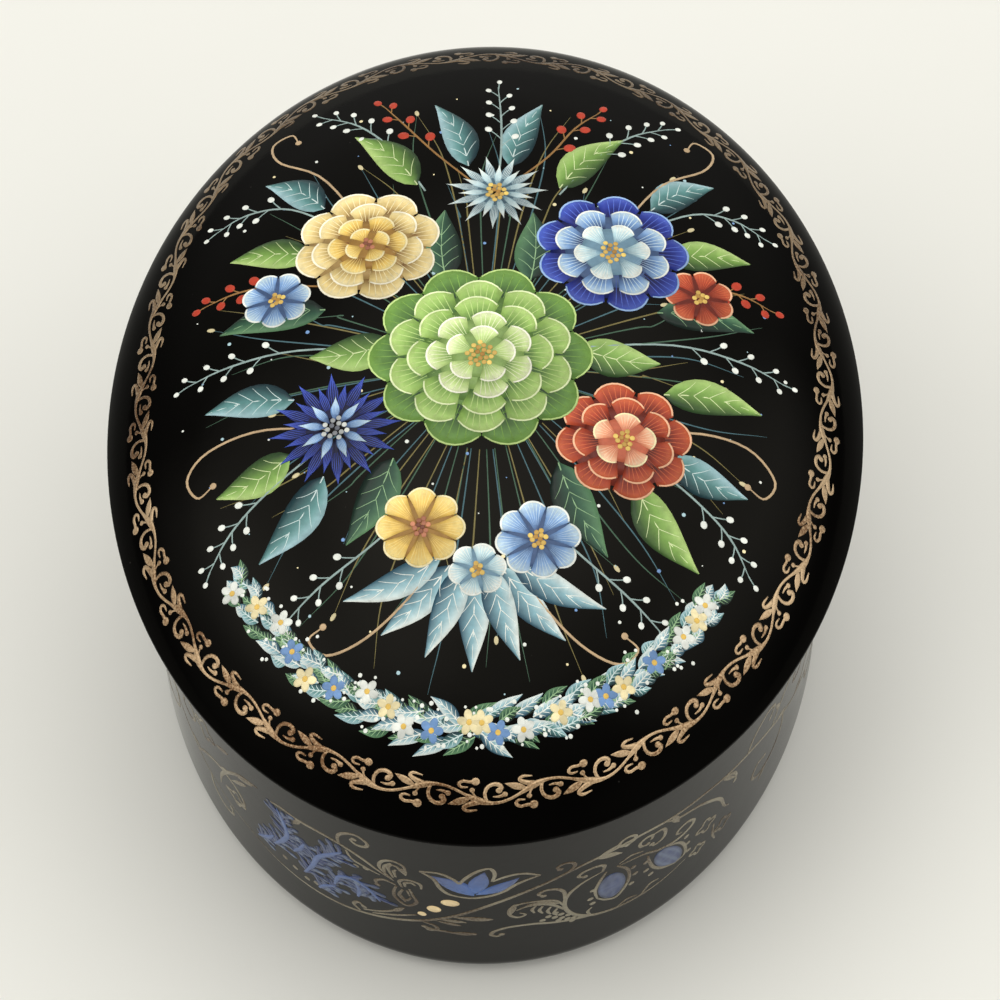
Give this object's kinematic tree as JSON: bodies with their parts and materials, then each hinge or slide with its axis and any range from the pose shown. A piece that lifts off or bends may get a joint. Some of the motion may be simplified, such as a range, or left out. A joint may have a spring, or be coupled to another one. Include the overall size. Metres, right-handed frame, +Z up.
{
  "type": "oval lacquer box",
  "caption": "Oval black-lacquered pasteboard box with a domed lift-off lid that overhangs the wall and slips over an inner neck, for trinkets.",
  "frame": {"origin": "middle of the flat underside of the base board, on the table", "axes": "+Z up out of the lid, +Y along the long axis of the oval, +X along its short axis"},
  "size_m": [0.09, 0.108, 0.063],
  "materials": {
    "black_lacquer": "polished",
    "red_lacquer": "gloss",
    "gold_paint": "satin",
    "colour_paint": "gloss"
  },
  "bodies": {
    "body": {"base_board": "black_lacquer", "body_wall": "black_lacquer", "floor_board": "red_lacquer", "neck_sleeve": "red_lacquer"},
    "lid": {"lid_rim": "black_lacquer", "lid_crown": "black_lacquer", "lid_lining": "red_lacquer"}
  },
  "joints": [
    {"name": "lid_lift", "type": "slide", "parent": "body", "child": "lid", "axis": [0, 0, 1], "range_m": [0, 0.06]}
  ]
}
